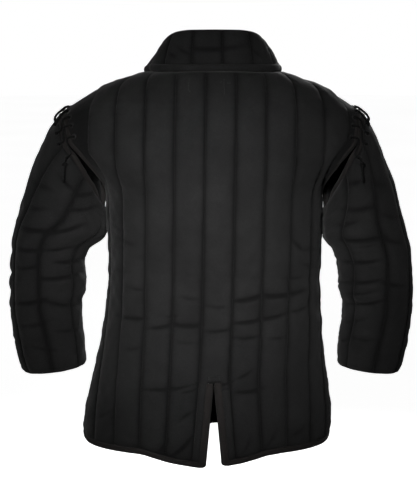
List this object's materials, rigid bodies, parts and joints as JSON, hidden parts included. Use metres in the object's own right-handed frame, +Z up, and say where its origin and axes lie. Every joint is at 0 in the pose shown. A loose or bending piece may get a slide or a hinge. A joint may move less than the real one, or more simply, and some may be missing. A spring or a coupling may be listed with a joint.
{
  "type": "quilted gambeson",
  "caption": "Padded, quilted body garment in black canvas with a standing collar, laced-on sleeves, a laced front and a vent in the back of the hem.",
  "frame": {"origin": "middle of the neck opening, level with the top of the shoulders, where the wearer's shoulders carry the garment", "axes": "+Z up along the body, +Y towards the wearer's front, +X towards the wearer's right"},
  "size_m": [0.7714, 0.3375, 0.8035],
  "materials": {
    "black_canvas": "matte",
    "black_binding": "matte",
    "black_cord": "matte"
  },
  "bodies": {
    "root": {"back": "black_canvas", "front_left": "black_canvas", "front_right": "black_canvas", "collar": "black_canvas", "neck_welt": "black_binding", "sleeve_left": "black_canvas", "sleeve_right": "black_canvas", "hem_binding_left": "black_binding", "hem_binding_right": "black_binding", "front_edge_binding_left": "black_binding", "front_edge_binding_right": "black_binding", "armhole_binding_left": "black_binding", "armhole_binding_right": "black_binding", "sleeve_head_binding_left": "black_binding", "sleeve_head_binding_right": "black_binding", "vent_bar_tack": "black_binding", "shoulder_lace_left": "black_cord", "shoulder_lace_right": "black_cord", "front_lace": "black_cord"}
  },
  "joints": []
}
